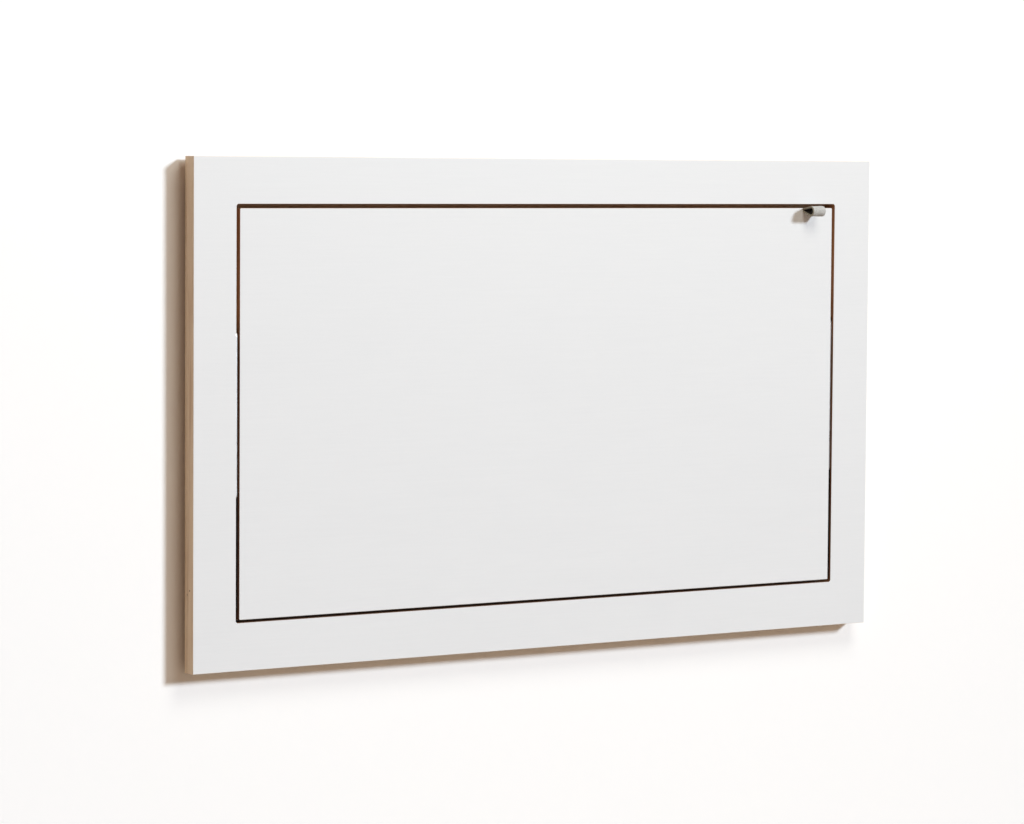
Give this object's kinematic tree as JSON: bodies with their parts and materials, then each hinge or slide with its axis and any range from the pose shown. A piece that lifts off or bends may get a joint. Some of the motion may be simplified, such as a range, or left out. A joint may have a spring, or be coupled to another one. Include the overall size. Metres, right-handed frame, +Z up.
{
  "type": "fold down wall desk",
  "caption": "Framed board on a wall whose middle folds down and slides up into a level desktop, carried by a strut at each side and opened by a felt pull loop.",
  "frame": {"origin": "on the wall, at mid width and at the height of the wall cleat's screws", "axes": "+X to the right as one faces the desk, +Y into the wall, +Z up; the desk's front faces -Y"},
  "size_m": [1, 0.0505, 0.6],
  "materials": {
    "white_board": "white satin lacquer on birch plywood, edges bare and oiled",
    "bare_plywood": "bare birch plywood, oiled",
    "black_steel": "black satin powder coat",
    "black_screw": "black oxide",
    "zinc_plate": "bright zinc plate, drawn",
    "zinc_screw": "zinc plate",
    "polished_steel": "turned and polished",
    "nickel_magnet": "nickel plate",
    "aluminium_rail": "mill finish, extruded",
    "white_nylon": "machined nylon",
    "black_rubber": "moulded rubber",
    "grey_felt": "pressed wool felt, light grey"
  },
  "bodies": {
    "frame": {"frame_panel": "white_board", "frame_cleat": "aluminium_rail", "frame_cleat_screws": "zinc_screw", "wall_cleat": "aluminium_rail", "buffer_screws": "zinc_screw", "stop_strip": "bare_plywood", "stop_strip_screws": "zinc_screw", "left_buffer": "black_rubber", "right_buffer": "black_rubber", "left_keeper": "zinc_plate", "right_keeper": "zinc_plate", "left_guide_rail": "black_steel", "right_guide_rail": "black_steel", "left_rail_screws": "black_screw", "right_rail_screws": "black_screw", "left_strut_screw": "zinc_screw", "right_strut_screw": "zinc_screw"},
    "slide_blocks": {"left_slide_block": "white_nylon", "right_slide_block": "white_nylon"},
    "tabletop": {"tabletop_board": "white_board", "pull_loop": "grey_felt", "pull_loop_screw": "zinc_screw", "left_bracket": "black_steel", "right_bracket": "black_steel", "left_bracket_screws": "black_screw", "right_bracket_screws": "black_screw", "left_guide_pin": "polished_steel", "right_guide_pin": "polished_steel", "left_magnet": "nickel_magnet", "right_magnet": "nickel_magnet"},
    "left_strut": {"left_strut_bar": "zinc_plate", "left_link_pivot": "polished_steel"},
    "right_strut": {"right_strut_bar": "zinc_plate", "right_link_pivot": "polished_steel"}
  },
  "joints": [
    {"name": "guide_slide", "type": "slide", "parent": "frame", "child": "slide_blocks", "axis": [0, 0, 1], "range_m": [0, 0.18738]},
    {"name": "tabletop_fold", "type": "hinge", "parent": "slide_blocks", "child": "tabletop", "pos_m": [0, -0.018, -0.48], "axis": [1, 0, 0], "range_deg": [0, 90]},
    {"name": "left_strut_swing", "type": "hinge", "parent": "frame", "child": "left_strut", "pos_m": [-0.4415, -0.018, -0.163], "axis": [-1, 0, 0], "range_deg": [0, 45.52]},
    {"name": "right_strut_swing", "type": "hinge", "parent": "frame", "child": "right_strut", "pos_m": [0.4415, -0.018, -0.163], "axis": [-1, 0, 0], "range_deg": [0, 45.52]}
  ],
  "couplings": [
    {"joint": "guide_slide", "follows": "tabletop_fold", "m_per_rad": 0.11929},
    {"joint": "left_strut_swing", "follows": "tabletop_fold", "ratio": 0.50579},
    {"joint": "right_strut_swing", "follows": "tabletop_fold", "ratio": 0.50579}
  ]
}
